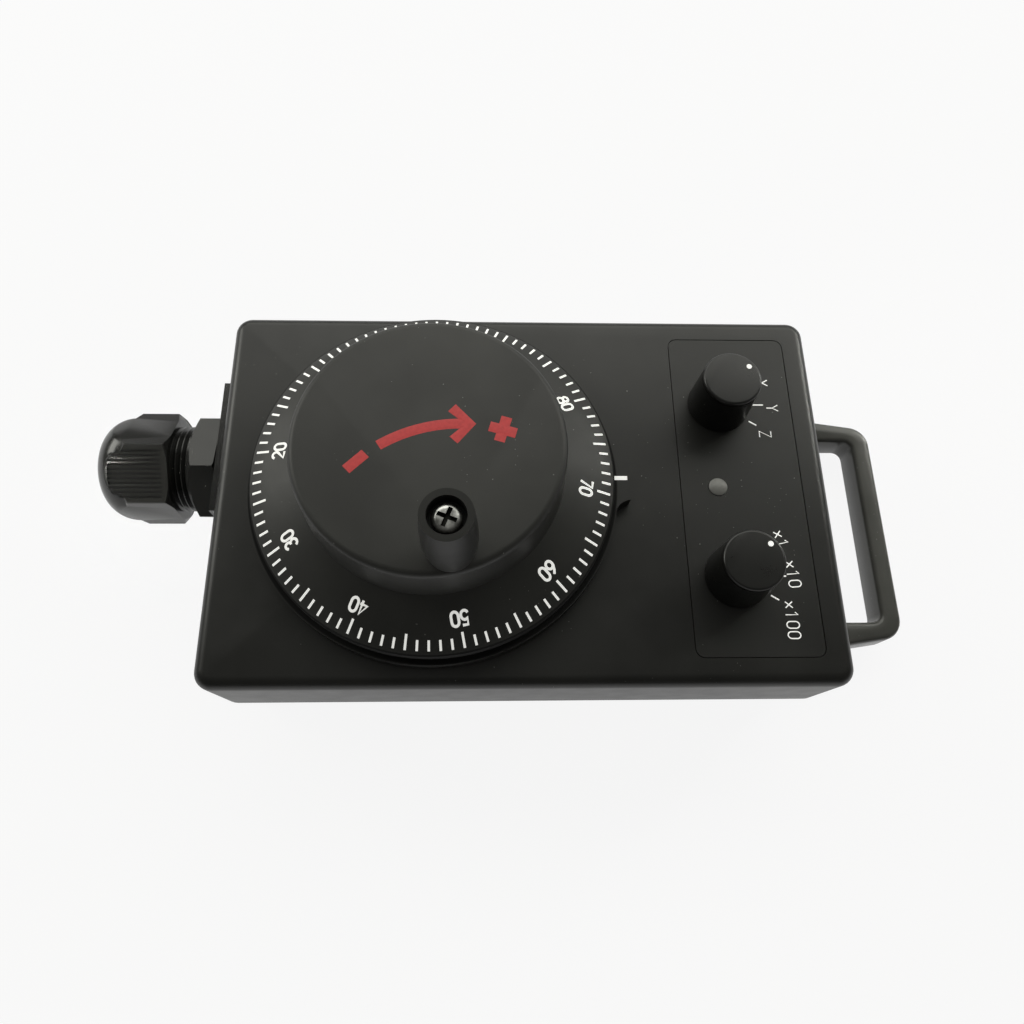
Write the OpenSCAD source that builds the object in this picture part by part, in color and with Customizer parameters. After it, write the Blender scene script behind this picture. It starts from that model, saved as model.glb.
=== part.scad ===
// Hand-held pulse generator pendant: a moulded case with an 80 mm hundred-step
// handwheel, two selector knobs, a cord gland and a hanging handle.
// Origin: centre of the case's flat back. +X points to the handle, +Z out of the dial.

/* [Case] */
// Length of the case, from the gland end to the handle end
case_l = 140; // [138:0.5:160]
// Width of the case
case_w = 90; // [89:0.5:110]
// Depth of the case, from its back to its top face
case_h = 39; // [38:0.5:48]
// Height of the parting line between the covers
part_h = 17; // [16:0.25:18]
// Radius of the case's upright corners
corner_r = 4; // [3.5:0.1:5]
// Radius of the top face's edge
edge_r = 2.7; // [1:0.1:3.4]
// Thickness of the front cover's walls
wall_t = 2.5; // [2:0.1:3]
// Thickness of the front cover's top
top_t = 3; // [2.5:0.1:3.4]
// Thickness of the rear cover's floor
floor_t = 2.5; // [2:0.1:3]
// Step between the rear cover and the front cover at the parting line
rear_step = 0.6; // [0.4:0.1:0.9]
// How far the rear cover's draft takes its walls in at the back
rear_draft = 2; // [1:0.1:2.2]
// Radius of the screw posts
post_r = 4; // [3.6:0.1:4.4]
// Distance of the screw posts from the case's sides
post_in = 8.5; // [8.2:0.1:9]
// Distance of the screw posts from the case's ends
post_end_in = 12; // [11.8:0.1:12.6]

/* [Generator] */
// Distance of the dial's axis from the gland end
gen_in = 49.5; // [48:0.5:51]
// Radius of the generator's flange round the dial
base_r = 41; // [40.5:0.1:42]
// Height of the flange above the top face
base_h = 3.5; // [3:0.1:4]
// Distance from the dial's axis to the tip of the index
index_reach = 43.7; // [43:0.1:45]
// Width of the index
index_w = 9; // [7:0.1:10]
// Radius of the generator's cup inside the case
cup_r = 30; // [29.5:0.1:31]
// Wall of the cup
cup_t = 3; // [2.5:0.1:3.2]
// Depth of the cup's rim below the top face
cup_depth = 26; // [25.5:0.1:26.5]
// Radius of the shaft
shaft_r = 4; // [3.8:0.05:4.2]
// Outer radius of the shaft's ball bearings
bearing_r = 8; // [7.8:0.05:8.4]
// Width of a ball bearing
bearing_w = 5; // [4.5:0.1:5.2]
// Number of clicks in one turn of the dial
clicks = 100; // [50:10:100]
// Radius of the click wheel
click_r = 14; // [13:0.1:15]
// Radius of the slotted disc
disc_r = 20.5; // [19.5:0.1:20.8]
// Number of slots in the disc
disc_slots = 50; // [25:5:50]
// Radius of the encoder board
board_r = 26.7; // [26.2:0.1:26.8]

/* [Dial] */
// Radius of the dial
dial_r = 39.8; // [39:0.1:40.4]
// Thickness of the dial's rim
rim_t = 3; // [2.5:0.1:3.5]
// How far the cone that carries the divisions rises from the rim to the hub
cone_rise = 5.2; // [4:0.1:6]
// Gap between the flange and the turning dial
dial_gap = 0.5; // [0.3:0.05:0.8]
// Radius of the hub's top
hub_r = 28; // [27.5:0.1:29]
// Height of the hub above the rim
hub_h = 17; // [16:0.1:20]
// Radius of the hub's top edge
hub_round = 1.5; // [0.8:0.1:2]
// Draft of the hub's side
hub_draft = 0.4; // [0.2:0.1:0.8]
// Wall of the hub
hub_wall = 2.6; // [2.2:0.1:3]
// Thickness of the hub's top
hub_top_t = 3; // [2.6:0.1:3.4]
// Radius of the boss that grips the shaft
boss_r = 9; // [8.5:0.1:10]

/* [Spinner] */
// Distance of the spinner from the dial's axis
spin_in = 23.5; // [23:0.1:23.8]
// Direction of the spinner at rest, in degrees from the index
spin_a = -78; // [-90:1:-60]
// Height of the spinner knob with its washer
spin_h = 20; // [18:0.1:24]
// Radius of the spinner's foot
spin_foot_r = 4.4; // [4.2:0.1:4.6]
// Radius of the spinner's waist, its widest part
spin_waist_r = 5.3; // [5.1:0.1:5.7]
// Radius of the spinner's top
spin_top_r = 4.75; // [4.5:0.05:5]
// Radius of the sleeve that the spinner turns on
sleeve_r = 2.2; // [2.1:0.05:2.4]

/* [Selectors] */
// Distance of the selectors' axes from the handle end
sel_in = 23.7; // [23:0.1:24.5]
// Distance between the two selectors
sel_pitch = 42.4; // [41:0.1:44]
// Side of a selector switch's body
switch_w = 17; // [16:0.1:18]
// Depth of a selector switch's body
switch_h = 10; // [9:0.1:10.5]
// Radius of a selector's shaft
sel_shaft_r = 3; // [2.8:0.05:3.1]
// Radius of a knob at its foot
knob_foot_r = 7.2; // [7:0.05:7.6]
// Radius of a knob at its top
knob_top_r = 6.6; // [6.3:0.05:6.9]
// Height of a knob
knob_h = 12.2; // [11.5:0.1:14]
// Gap under a knob
knob_gap = 0.4; // [0.3:0.05:0.6]

/* [Legend plate and lamp] */
// Width of the legend plate along the case
plate_l = 28; // [27:0.1:29]
// Length of the legend plate across the case
plate_w = 78; // [77:0.1:79]
// Distance of the plate's middle from the handle end
plate_in = 20.3; // [20:0.1:20.8]
// Thickness of the plate
plate_t = 0.5; // [0.4:0.05:0.8]
// Distance of the lamp from the handle end
lamp_in = 25.8; // [25:0.1:26.2]
// Radius of the lamp
lamp_r = 2.1; // [2:0.05:2.3]

/* [Cord gland] */
// Distance of the gland's axis from the case's middle line
gland_y = 12.5; // [11:0.5:14]
// Width of the gland plate
gplate_w = 33; // [32.5:0.5:35]
// Height of the gland plate
gplate_h = 29; // [28.5:0.1:30]
// How far the plate's flange stands out of the end wall
gplate_t = 2.3; // [2:0.1:2.6]
// Radius of the gland's thread
thread_r = 10.2; // [10:0.05:10.3]
// Width across the flats of the gland's hexagons
gland_af = 24; // [23.5:0.1:24.5]
// Radius of the cord's way through the seal
cord_r = 5; // [4:0.1:5.5]
// Distance of the gland's mouth from the end wall
gland_reach = 33; // [32.5:0.1:34]

/* [Handle] */
// How far the handle stands out of the end wall
handle_reach = 26.5; // [25:0.1:32]
// Width of the handle at the case
handle_w = 66.5; // [64:0.5:68]
// Width of the handle at its far side
handle_end_w = 59.5; // [56:0.5:62]
// Width of the opening for the fingers
finger_w = 50.4; // [48:0.2:52]
// Width of the bar
bar_w = 5; // [4.5:0.1:5.5]
// Thickness of the handle
handle_t = 9; // [8:0.1:9.5]
// Height of the handle above the back
handle_up = 2; // [2:0.1:3]
// Radius of the handle's long edges
handle_round = 1.3; // [0.8:0.1:1.6]

/* [Hidden] */

$fn = 96;
// Segments of the rounds that are hulled
hull_fn = 32;
// Running clearance of a shaft in its bore
run = 0.03;
// Clearance of a screw, insert or press seat in its hole
seat = 0.02;
// Clearance between moulded parts that slip together
slip = 0.15;
// Overlap that a cutting tool needs past a face
cut = 1;

shell_black = [0.09, 0.09, 0.085];
dial_black = [0.12, 0.12, 0.11];
knob_black = [0.07, 0.07, 0.07];
nylon_black = [0.10, 0.10, 0.09];
rubber_black = [0.05, 0.05, 0.05];
steel = [0.72, 0.72, 0.72];
brass = [0.78, 0.64, 0.32];
board_green = [0.08, 0.32, 0.16];
lamp_grey = [0.55, 0.56, 0.54];

// Levels of the case
panel_z = case_h - top_t;
rear_in = wall_t + slip + 2.25;
rear_foot_r = 1.6;
tongue_h = 2;

// Case screws, M3 pan heads in counterbores of the rear cover
screw_r = 1.5;
head_r = 2.75;
head_h = 2.2;
case_screw_seat = 4;
case_screw_up = 11;

// Levels of the generator
gen_x = -case_l / 2 + gen_in;
cup_z = case_h - cup_depth;
base_top = case_h + base_h;
web_t = 5;
web_z = base_top - web_t;
gen_screw_r = 2;
gen_screw_head_r = 3.5;
gen_screw_head_h = 2.6;
gen_screw_in = 36;
gen_screw_a = [60, 180, 300];
cup_hole_r = cup_r + 0.5;

// The two bearings, on their own shoulders in the middle boss
race_gap_r = (shaft_r + bearing_r) / 2;
ball_r = 1.15;
ball_count = 9;
ring_t = (bearing_r - shaft_r) / 3;
bearing_drop = 0.2;
front_bearing_z = base_top - bearing_drop - bearing_w;
boss_z = cup_z + 10.5;
boss_out = bearing_r + 3;
rear_bearing_z = boss_z + 0.4;

// What the shaft carries below the rear bearing
circlip_t = 0.8;
circlip_z = rear_bearing_z - 0.1 - circlip_t;
click_wheel_h = 3;
spring_screw_r = 1;
spring_screw_l = 3.4;
click_wheel_z = circlip_z - 0.3 - click_wheel_h;
disc_hub_h = 4;
disc_hub_r = 8;
disc_spigot_r = 6;
disc_hub_z = click_wheel_z - 0.2 - disc_hub_h;
disc_t = 0.5;
disc_z = disc_hub_z + 2;
collar_r = 5.2;
collar_z = base_top - bearing_drop + 0.05;
collar_t = 1.8;

// The encoder's board and cover
board_t = 1.6;
board_z = cup_z + 0.6;
board_post_in = 24.4;
board_post_r = 2.9;
board_post_a = [30, 150, 270];
board_screw_l = 11;
small_screw_r = 1.25;
cover_t = 2;
cover_z = cup_z - cover_t;
socket_y = 17;
socket_l = 10;
socket_w = 5;
socket_h = 5.6;

// Levels of the dial
rim_z = base_top + dial_gap;
rim_top = rim_z + rim_t;
rim_foot = 4;
hub_top = rim_top + hub_h;
boss_foot = collar_z + collar_t;
set_screw_z = rim_top + cone_rise + 3.4;
set_screw_r = 2;
set_screw_a = 90;
shaft_top = hub_top - hub_top_t - 2;
rib_count = 6;
rib_t = 1.6;
rib_h = 8;

// Levels of the spinner
insert_r = 2.8;
insert_h = 8;
spin_boss_r = 4.2;
washer_t = 0.5;
spin_z = hub_top + washer_t;
spin_top = hub_top + spin_h;
spin_recess_r = 3.5;
spin_ledge = spin_top - 3.1;
sleeve_top = spin_ledge + 0.15;
spin_waist_at = 0.45;
spin_head_r = 2.7;
spin_head_h = 2;
spin_head_edge = 1.1;
spin_head_round = 1.3;

// Selectors
sel_x = case_l / 2 - sel_in;
bushing_r = 3.5;
bushing_h = 5.8;
nut_af = 10;
nut_h = 2;
knob_z = case_h + knob_gap;
knob_top = knob_z + knob_h;
knob_bore_top = knob_top - 3;
knob_skirt_h = 3.2;
sel_shaft_top = knob_bore_top - 0.5;
sel_shaft_foot = panel_z - switch_h + 2;
knob_round = 0.6;
pin_r = 0.4;

// Board behind the selectors
sboard_l = 25;
sboard_w = 62;
sboard_t = 1.6;
sboard_z = panel_z - switch_h - 1.6 - sboard_t;
term_l = 8;
term_w = 28;
term_h = 7.5;
term_count = 8;
term_screw_r = 1.3;
term_wire_r = 1.1;

// Legend plate and lamp
plate_x = case_l / 2 - plate_in;
plate_r = 2;
plate_gap = 0.2;
lamp_x = case_l / 2 - lamp_in;
lamp_flange_r = lamp_r + 0.4;
lamp_proud = 0.9;
lead_r = 0.25;

// Gland. Its own axis runs out of the end wall
gland_z = case_h / 2;
gplate_lip = 2;
pad_t = rear_in;
gwasher_t = 1;
ghex_z = gplate_t + gwasher_t;
ghex_h = 6.2;
neck_l = 5;
ridge_pitch = 1.3;
ridge_depth = 0.8;
nut_thread_r = thread_r + 0.4;
gnut_z = ghex_z + ghex_h + neck_l;
dome_h = 7.6;
dome_r = 12.8;
mouth_r = 5.5;
hex_r = gland_af / 2 / cos(30);
ghex_turn = -19.5;
gnut_turn = 1.5;
locknut_h = 5;
locknut_af = 24;
inner_lip_t = 1.5;
thread_in = pad_t + inner_lip_t + locknut_h + 1;
finger_l = 4;
finger_slit = 0.8;
fingers_z = gnut_z + 11.5;
seal_r = 8.2;
seal_z = ghex_z + ghex_h;
bore_r = 6.5;
rib_lines = 11;

// Handle
handle_seat = case_l / 2 - rear_step;
handle_mid = (handle_w + finger_w) / 4;
handle_z = handle_up + handle_t / 2;
handle_corner_r = 5.5;
finger_corner_r = 2.4;
handle_screw_r = 2;
handle_screw_l = 12;

// ---- shared shapes ----

// Rectangle with round corners, centred
module rounded_rect(l, w, r) {
    square([l - 2 * r, w], center = true);
    square([l, w - 2 * r], center = true);
    for (x = [-1, 1], y = [-1, 1])
        translate([x * (l / 2 - r), y * (w / 2 - r)])
            circle(r);
}

// Block with round upright corners, standing on z = 0
module rounded_block(l, w, h, r)
    linear_extrude(h)
        rounded_rect(l, w, r);

// Its children at the four corners of a rectangle
module at_corners(l, w)
    for (x = [-1, 1], y = [-1, 1])
        translate([x * l / 2, y * w / 2, 0])
            children();

module at_posts()
    at_corners(case_l - 2 * post_end_in, case_w - 2 * post_in)
        children();

module at_dial()
    translate([gen_x, 0, 0])
        children();

module at_spinner()
    at_dial()
        rotate(spin_a)
            translate([spin_in, 0, 0])
                children();

// side is 1 for the axis selector and -1 for the multiplier selector
module at_selector(side)
    translate([sel_x, side * sel_pitch / 2, 0])
        children();

// +Z of the children runs out of the case along the gland
module at_gland()
    translate([-case_l / 2, gland_y, gland_z])
        rotate([0, -90, 0])
            children();

module around(angles, r)
    for (a = angles)
        rotate(a)
            translate([r, 0, 0])
                children();

module tube(r_out, r_in, h)
    difference() {
        cylinder(r = r_out, h = h);
        translate([0, 0, -cut]) cylinder(r = r_in, h = h + 2 * cut);
    }

// Post with a rounded top edge, to be hulled
module soft_post(r, edge, h)
    rotate_extrude($fn = hull_fn) {
        square([r, h - edge]);
        square([r - edge, h]);
        intersection() {
            translate([r - edge, h - edge]) circle(edge, $fn = hull_fn);
            translate([0, h - edge]) square([r, edge]);
        }
    }

// Pan-head screw: head below z = 0, shank up from it
module pan_screw(shank_r, shank_l, cap_r, cap_h)
    union() {
        translate([0, 0, -cap_h]) cylinder(r1 = cap_r * 0.8, r2 = cap_r, h = cap_h * 0.35);
        translate([0, 0, -cap_h * 0.65]) cylinder(r = cap_r, h = cap_h * 0.65);
        cylinder(r = shank_r, h = shank_l);
    }

// Cross recess cut into a screw's head from z = 0 downwards
module cross_recess(size, depth)
    for (a = [0, 90])
        rotate(a)
            translate([-size / 2, -size / 9, -depth])
                cube([size, size / 4.5, depth + cut]);

// ---- case ----

// Outside of the front cover: straight walls and a rounded top edge
module front_skin()
    hull()
        translate([0, 0, part_h])
            at_corners(case_l - 2 * corner_r, case_w - 2 * corner_r)
                soft_post(corner_r, edge_r, case_h - part_h);

// Outside of the rear cover: drafted walls and a rounded back edge
module rear_skin() {
    rim_in = rear_step + corner_r;
    foot_in = rear_step + rear_draft + corner_r;
    hull() {
        translate([0, 0, part_h - 0.5])
            at_corners(case_l - 2 * rim_in, case_w - 2 * rim_in)
                cylinder(r = corner_r, h = 0.5, $fn = hull_fn);
        translate([0, 0, 3])
            mirror([0, 0, 1])
                at_corners(case_l - 2 * foot_in, case_w - 2 * foot_in)
                    soft_post(corner_r, rear_foot_r, 3);
    }
}

// Window in the gland end that both covers close round the gland plate
module gland_window()
    at_gland()
        translate([0, 0, -pad_t / 2])
            cube([gplate_h - 2 * gplate_lip, gplate_w - 2 * gplate_lip, 2 * pad_t], center = true);

// Thick part of the end wall that carries the gland plate
module gland_pad(low, high)
    translate([-case_l / 2, gland_y - gplate_w / 2 - 1.5, low])
        cube([pad_t, gplate_w + 3, high - low]);

// The end of a front post, seen from the rear cover
module front_post()
    cylinder(r = post_r, h = panel_z - part_h + cut / 2);

module front_cover()
    color(shell_black)
        difference() {
            union() {
                difference() {
                    front_skin();
                    translate([0, 0, part_h - cut])
                        rounded_block(case_l - 2 * wall_t, case_w - 2 * wall_t,
                                      panel_z - part_h + cut, corner_r - wall_t);
                }
                at_posts() translate([0, 0, part_h]) front_post();
                intersection() {
                    gland_pad(part_h, panel_z + cut / 2);
                    translate([0, 0, part_h])
                        rounded_block(case_l - 1, case_w - 1, case_h - edge_r - part_h, corner_r);
                }
            }
            at_posts()
                translate([0, 0, part_h - cut])
                    cylinder(r = screw_r + seat, h = case_screw_up + 2 * cut);
            at_dial() {
                translate([0, 0, panel_z - cut])
                    cylinder(r = cup_hole_r, h = top_t + 2 * cut);
                around(gen_screw_a, gen_screw_in)
                    translate([0, 0, panel_z - cut])
                        cylinder(r = gen_screw_r + 0.2, h = top_t + 2 * cut);
            }
            for (side = [-1, 1])
                at_selector(side)
                    translate([0, 0, panel_z - cut])
                        cylinder(r = bushing_r + 0.1, h = top_t + 2 * cut);
            translate([lamp_x, 0, panel_z - cut])
                cylinder(r = lamp_r + 0.1, h = top_t + 2 * cut);
            translate([plate_x, 0, case_h - plate_t])
                rounded_block(plate_l + 2 * plate_gap, plate_w + 2 * plate_gap,
                              plate_t + cut, plate_r + plate_gap);
            gland_window();
        }

module rear_cover()
    color(shell_black)
        difference() {
            union() {
                difference() {
                    rear_skin();
                    translate([0, 0, floor_t])
                        rounded_block(case_l - 2 * rear_in, case_w - 2 * rear_in, part_h, corner_r / 2);
                }
                gland_pad(gland_z - gplate_h / 2 - 1.5, part_h);
                for (side = [-1, 1])
                    translate([case_l / 2 - rear_in, side * handle_mid - 4.5, handle_up - 1])
                        cube([rear_in - rear_step, 9, handle_t + 2]);
                difference() {
                    translate([0, 0, part_h - cut])
                        rounded_block(case_l - 2 * (wall_t + slip), case_w - 2 * (wall_t + slip),
                                      tongue_h + cut, corner_r - wall_t);
                    translate([0, 0, floor_t])
                        rounded_block(case_l - 2 * rear_in, case_w - 2 * rear_in, case_h, corner_r / 2);
                    at_posts() translate([0, 0, part_h]) cylinder(r = post_r + slip, h = case_h);
                    translate([0, 0, part_h]) gland_pad(-slip, case_h);
                    translate([-case_l / 2, gland_y - gplate_w / 2 - 1.5 - slip, part_h])
                        cube([pad_t + slip, gplate_w + 3 + 2 * slip, case_h]);
                }
                at_posts() translate([0, 0, floor_t / 2]) cylinder(r = post_r, h = part_h - floor_t / 2);
            }
            at_posts() {
                translate([0, 0, -cut]) cylinder(r = head_r + 0.35, h = case_screw_seat + cut);
                cylinder(r = screw_r + 0.2, h = part_h + cut);
            }
            for (side = [-1, 1])
                translate([case_l / 2 - rear_in - cut, side * handle_mid, handle_z])
                    rotate([0, 90, 0])
                        cylinder(r = handle_screw_r + 0.2, h = rear_in + 2 * cut);
            gland_window();
        }

module case_screws()
    color(steel)
        at_posts()
            translate([0, 0, case_screw_seat])
                difference() {
                    pan_screw(screw_r, part_h - case_screw_seat + case_screw_up, head_r, head_h);
                    translate([0, 0, -head_h]) mirror([0, 0, 1]) cross_recess(3, 1.3);
                }

module legend_plate()
    color(dial_black)
        difference() {
            translate([plate_x, 0, case_h - plate_t])
                rounded_block(plate_l, plate_w, plate_t, plate_r);
            for (side = [-1, 1])
                at_selector(side)
                    translate([0, 0, case_h - plate_t - cut])
                        cylinder(r = bushing_r + 0.1, h = plate_t + 2 * cut);
            translate([lamp_x, 0, case_h - plate_t - cut])
                cylinder(r = lamp_r + 0.1, h = plate_t + 2 * cut);
        }

// Light-emitting diode: flange under the panel, body through it and a low dome
module lamp_lens()
    color(lamp_grey)
        translate([lamp_x, 0, 0]) {
            dome = lamp_proud - 0.2;
            ball = (lamp_r * lamp_r + dome * dome) / (2 * dome);
            translate([0, 0, panel_z - 1.5]) cylinder(r = lamp_flange_r, h = 1.5);
            translate([0, 0, panel_z - 0.5]) cylinder(r = lamp_r, h = top_t + 0.7);
            intersection() {
                translate([0, 0, case_h + 0.2 + dome - ball]) sphere(ball);
                translate([0, 0, case_h]) cylinder(r = lamp_r, h = lamp_proud + cut);
            }
        }

module lamp_leads()
    color(steel)
        for (side = [-1, 1])
            translate([lamp_x, side * 1.27, sboard_z - 1])
                cylinder(r = lead_r, h = panel_z - 1.5 - sboard_z + 1, $fn = 24);

// ---- pulse generator ----

// Outline of the index, with hollow shoulders where it grows out of the flange
module index_outline() {
    fillet = 4;
    reach = base_r + fillet - 0.15;
    up = index_w / 2 + fillet;
    along = sqrt(reach * reach - up * up);
    touch = base_r / reach * up;
    translate([0, -index_w / 2]) square([index_reach, index_w]);
    for (side = [0, 1])
        mirror([0, side])
            difference() {
                translate([base_r - 4, 0]) square([index_reach - base_r + 4, touch]);
                translate([along, up]) circle(fillet);
            }
}

module generator_base()
    color(shell_black)
        at_dial()
            difference() {
                union() {
                    translate([0, 0, case_h]) {
                        cylinder(r = base_r, h = base_h);
                        linear_extrude(base_h) index_outline();
                    }
                    translate([0, 0, cup_z]) tube(cup_r, cup_r - cup_t, case_h - cup_z);
                    translate([0, 0, web_z]) cylinder(r = cup_r - cut, h = web_t);
                    translate([0, 0, boss_z]) cylinder(r = boss_out, h = web_z - boss_z + cut);
                    around(board_post_a, board_post_in)
                        translate([0, 0, board_z + board_t])
                            cylinder(r = board_post_r, h = web_z - board_z - board_t + cut);
                    translate([click_r - 5, click_r + 5.4, click_wheel_z])
                        cube([6, 4.5, web_z - click_wheel_z + cut]);
                }
                translate([0, 0, front_bearing_z]) cylinder(r = bearing_r + seat, h = case_h);
                translate([0, 0, boss_z - cut])
                    cylinder(r = bearing_r + seat, h = rear_bearing_z + bearing_w - boss_z + cut);
                translate([0, 0, boss_z - cut]) cylinder(r = bearing_r - 1.5, h = case_h);
                around(gen_screw_a, gen_screw_in)
                    translate([0, 0, case_h - cut])
                        cylinder(r = gen_screw_r + seat, h = base_h - 0.8 + cut);
                around(board_post_a, board_post_in)
                    translate([0, 0, board_z])
                        cylinder(r = small_screw_r + seat, h = board_screw_l - 1);
                at_spring_screw() cylinder(r = spring_screw_r + seat, h = spring_screw_l + 0.4);
            }

module generator_screws()
    color(steel)
        at_dial()
            around(gen_screw_a, gen_screw_in)
                translate([0, 0, panel_z])
                    difference() {
                        pan_screw(gen_screw_r, top_t + base_h - 1.2, gen_screw_head_r, gen_screw_head_h);
                        translate([0, 0, -gen_screw_head_h])
                            mirror([0, 0, 1])
                                cross_recess(4, 1.5);
                    }

// Ball bearing standing on z = 0: two grooved rings and their balls
module ball_bearing() {
    groove_r = ball_r + 0.04;
    rotate_extrude()
        difference() {
            translate([shaft_r + run, 0]) square([ring_t - run, bearing_w]);
            translate([race_gap_r, bearing_w / 2]) circle(groove_r);
        }
    rotate_extrude()
        difference() {
            translate([bearing_r - ring_t, 0]) square([ring_t, bearing_w]);
            translate([race_gap_r, bearing_w / 2]) circle(groove_r);
        }
    for (i = [0 : ball_count - 1])
        rotate(i * 360 / ball_count)
            translate([race_gap_r, 0, bearing_w / 2])
                sphere(ball_r, $fn = 32);
}

module front_bearing()
    color(steel)
        at_dial() translate([0, 0, front_bearing_z]) ball_bearing();

module rear_bearing()
    color(steel)
        at_dial() translate([0, 0, rear_bearing_z]) ball_bearing();

// Shaft with a collar that carries the dial and a groove for the circlip
module dial_shaft()
    color(steel)
        at_dial()
            difference() {
                union() {
                    translate([0, 0, disc_hub_z]) cylinder(r = shaft_r, h = shaft_top - disc_hub_z);
                    translate([0, 0, collar_z]) cylinder(r = collar_r, h = collar_t);
                }
                translate([0, 0, circlip_z - seat]) tube(shaft_r + cut, shaft_r - 0.4, circlip_t + 2 * seat);
            }

module shaft_circlip()
    color(steel)
        at_dial()
            translate([0, 0, circlip_z])
                difference() {
                    cylinder(r = shaft_r + 1.3, h = circlip_t);
                    translate([0, 0, -cut]) cylinder(r = shaft_r - 0.4 + seat, h = circlip_t + 2 * cut);
                    translate([0, -1.5, -cut]) cube([3 * shaft_r, 3, circlip_t + 2 * cut]);
                }

// Wheel with one small tooth for each click
module click_wheel() {
    tooth = 0.4;
    color(brass)
        at_dial()
            translate([0, 0, click_wheel_z])
                linear_extrude(click_wheel_h)
                    difference() {
                        polygon([for (i = [0 : 2 * clicks - 1])
                            let (r = i % 2 == 0 ? click_r : click_r - tooth, a = 180 * i / clicks)
                                [r * cos(a), r * sin(a)]]);
                        circle(shaft_r + seat);
                    }
}

// +Z of the children runs from the leaf spring into its post
module at_spring_screw()
    translate([click_r - 2, click_r + 5, click_wheel_z + click_wheel_h / 2])
        rotate([-90, 0, 0])
            children();

// Leaf spring: a foot screwed to its post and a nose that rides on the teeth
module click_spring() {
    leaf = 0.4;
    foot_y = click_r + 5.2;
    nose_y = click_r + leaf / 2 + 0.1;
    route = [
        [click_r + 1, foot_y],
        [click_r - 5, foot_y],
        [1.5, nose_y + 1.3],
        [0, nose_y],
        [-1.5, nose_y + 1.3]
    ];
    color(steel)
        at_dial()
            difference() {
                translate([0, 0, click_wheel_z])
                    linear_extrude(click_wheel_h)
                        polygon(concat(
                            [for (p = route) p - [0, leaf / 2]],
                            [for (i = [1 : len(route)]) route[len(route) - i] + [0, leaf / 2]]));
                at_spring_screw()
                    translate([0, 0, -cut]) cylinder(r = spring_screw_r + seat, h = leaf + 2 * cut);
            }
}

module click_spring_screw()
    color(steel)
        at_dial()
            at_spring_screw() {
                translate([0, 0, -1.2]) cylinder(r = 1.45, h = 1.2);
                cylinder(r = spring_screw_r, h = spring_screw_l);
            }

module disc_hub()
    color(brass)
        at_dial()
            translate([0, 0, disc_hub_z])
                difference() {
                    union() {
                        cylinder(r = disc_hub_r, h = disc_z - disc_hub_z);
                        cylinder(r = disc_spigot_r, h = disc_hub_h);
                    }
                    translate([0, 0, -cut]) cylinder(r = shaft_r + seat, h = disc_hub_h + 2 * cut);
                }

module slotted_disc()
    color(steel)
        at_dial()
            translate([0, 0, disc_z])
                linear_extrude(disc_t)
                    difference() {
                        circle(disc_r);
                        circle(disc_spigot_r + seat);
                        for (i = [0 : disc_slots - 1])
                            rotate(i * 360 / disc_slots)
                                translate([disc_r - 3, -0.4])
                                    square([2, 0.8]);
                    }

module encoder_board()
    color(board_green)
        at_dial()
            translate([0, 0, board_z])
                difference() {
                    cylinder(r = board_r, h = board_t);
                    translate([0, 0, -cut]) cylinder(r = shaft_r + 2, h = board_t + 2 * cut);
                    around(board_post_a, board_post_in)
                        translate([0, 0, -cut])
                            cylinder(r = small_screw_r + 0.1, h = board_t + 2 * cut);
                }

// Forked sensor that stands on the board and reaches over the disc's slots
module light_sensor() {
    foot_z = board_z + board_t;
    arm_in = disc_r - 4;
    arm_out = disc_r + 3;
    color(rubber_black)
        at_dial()
            rotate(-150)
                difference() {
                    translate([arm_in, -4, foot_z])
                        cube([arm_out - arm_in, 8, disc_z + disc_t + 2.2 - foot_z]);
                    translate([arm_in - cut, -4 - cut, disc_z - 0.4])
                        cube([4 + 0.6 + cut, 8 + 2 * cut, disc_t + 0.8]);
                }
}

module encoder_socket()
    color(lamp_grey)
        at_dial()
            translate([-socket_l / 2, socket_y - socket_w / 2, board_z - socket_h])
                difference() {
                    cube([socket_l, socket_w, socket_h]);
                    translate([0.8, 0.8, -cut]) cube([socket_l - 1.6, socket_w - 1.6, socket_h - 0.6]);
                }

module encoder_cover()
    color(shell_black)
        at_dial()
            difference() {
                union() {
                    translate([0, 0, cover_z]) cylinder(r = cup_r, h = cover_t);
                    translate([0, 0, cup_z]) tube(board_r, board_r - 4.8, board_z - cup_z);
                }
                translate([-socket_l / 2 - 0.5, socket_y - socket_w / 2 - 0.5, cover_z - cut])
                    cube([socket_l + 1, socket_w + 1, cover_t + 2 * cut]);
                around(board_post_a, board_post_in)
                    translate([0, 0, cover_z - cut])
                        cylinder(r = small_screw_r + 0.1, h = cover_t + 3 * cut);
            }

module cover_screws()
    color(steel)
        at_dial()
            around(board_post_a, board_post_in)
                translate([0, 0, cover_z])
                    difference() {
                        pan_screw(small_screw_r, board_screw_l, 2.4, 1.6);
                        translate([0, 0, -1.6]) mirror([0, 0, 1]) cross_recess(2.6, 1);
                    }

// ---- dial ----

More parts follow.
